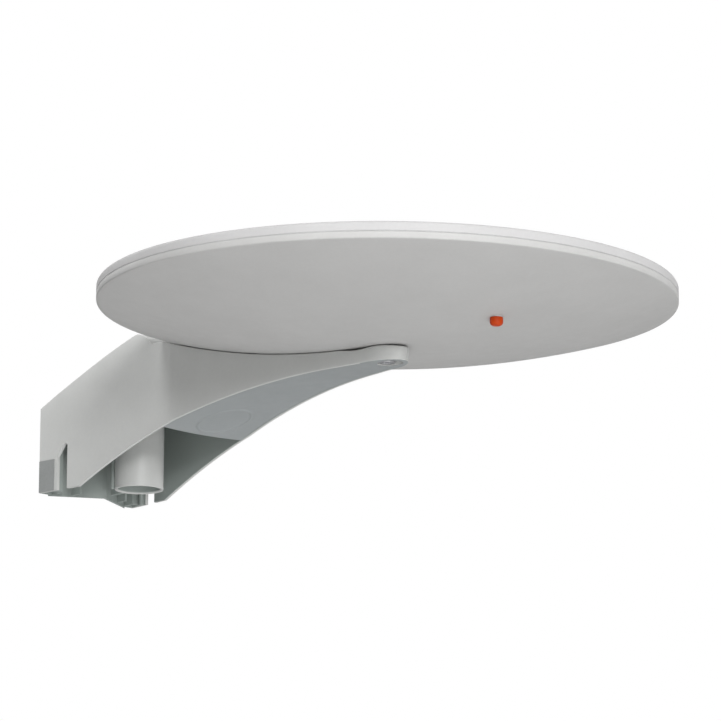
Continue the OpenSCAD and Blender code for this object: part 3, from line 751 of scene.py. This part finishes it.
def make_cover():
    """The under cover: a curved strip flush with the walls, with a low oval embossing."""
    def half_at(x):
        t = (x - WAIST_X) / (NECK_X - WAIST_X)
        return HALF_WAIST + (NECK_HALF - HALF_WAIST) * t - ARM_T - 0.15 * MM

    def end_x(y):
        return COVER_X - COVER_BOW * (1 - (y / half_at(COVER_X)) ** 2)

    def raised(x, y):
        off = (math.hypot((x - OVAL_X) / OVAL_L, y / OVAL_W) - 1) * (OVAL_L + OVAL_W) / 2
        return OVAL_H * ease(1.25 - abs(off) / OVAL_LINE)

    start, far = OVAL_X - OVAL_L - 2 * MM, OVAL_X + OVAL_L + 2 * MM
    stations = [0.0, 0.15 * MM, 0.5 * MM] + spaced(1 * MM, start - COVER_X, 5)
    stations += [x - COVER_X for x in spaced(start, far, 96)[1:]]
    stations += [x - COVER_X for x in spaced(far, CAVITY_END - 0.3 * MM, 44)[1:]]
    columns = spaced(-1, 1, 140)
    total = stations[-1]
    bm = bmesh.new()
    lower, upper = [], []
    for u in stations:
        row_low, row_high = [], []
        for v in columns:
            guess = COVER_X + u
            y = v * half_at(guess)
            x = guess + (end_x(y) - COVER_X) * (1 - u / total) ** 6
            side_lift = 0.25 * MM * (1 - min(1, (1 - abs(v)) * half_at(guess) / (0.5 * MM))) ** 2
            end_lift = 0.5 * MM * (1 - min(1, u / (0.5 * MM))) ** 2
            z = edge_z(x) + side_lift + end_lift - raised(x, y)
            row_low.append(bm.verts.new((x, y, z)))
            row_high.append(bm.verts.new((x, y, edge_z(x) + COVER_T)))
        lower.append(row_low)
        upper.append(row_high)
    for rows in (lower, upper):
        for a, b in zip(rows, rows[1:]):
            for i in range(len(a) - 1):
                bm.faces.new([a[i], a[i + 1], b[i + 1], b[i]])
    for a, b in ((lower[0], upper[0]), (lower[-1], upper[-1])):
        for i in range(len(a) - 1):
            bm.faces.new([a[i], a[i + 1], b[i + 1], b[i]])
    for k in range(len(lower) - 1):
        for end in (0, -1):
            bm.faces.new([lower[k][end], lower[k + 1][end], upper[k + 1][end], upper[k][end]])
    return add_piece("under_cover_skin", to_mesh("under_cover_skin", bm), "cover_plastic", "bracket",
                     ["under_cover"], 40)


def softened(node, width, look, body):
    """A copy of a CAD node with its flat faces merged and its sharp edges rounded."""
    bm = bmesh.new()
    bm.from_mesh(nodes[node].data)
    bmesh.ops.remove_doubles(bm, verts=bm.verts, dist=1e-6)
    bmesh.ops.dissolve_limit(bm, angle_limit=math.radians(1), verts=bm.verts, edges=bm.edges)
    sharp = [e for e in bm.edges if len(e.link_faces) == 2 and e.calc_face_angle() > math.radians(28)]
    bmesh.ops.bevel(bm, geom=sharp, offset=width, segments=3, affect="EDGES", profile=0.5,
                    clamp_overlap=True)
    return add_piece(node + "_skin", to_mesh(node + "_skin", bm), look, body, [node], 45)


# ---------------------------------------------------------------- CAD nodes and their looks
SLOT_OF = {s["node"]: s["material_slot"] for s in frame["record"]["subparts"]}
for node_name, node_object in nodes.items():
    node_object.data.materials.clear()
    node_object.data.materials.append(LOOKS[SLOT_OF[node_name]])

make_top_cover()
make_base_shell()
make_rim_seal()
make_base_posts()
make_cap()
make_arm_skin()
make_grip_strips()
make_socket()
make_cover()
saddle = softened("mast_saddle", 0.35 * MM, "bracket_plastic", "bracket")
# The saddle's faces turned into the hollow are painted darker as painted shade
look_on(saddle, "painted_shade_inner", lambda c, n: n.x > -0.2)
ribs = softened("socket_ribs", 0.4 * MM, "bracket_plastic", "bracket")
# The ribs' parts on the wall side of the socket are painted darker as painted shade
look_on(ribs, "painted_shade_inner", lambda c, n: c.x < 0)
softened("centre_screw", 0.2 * MM, "steel", "disc")
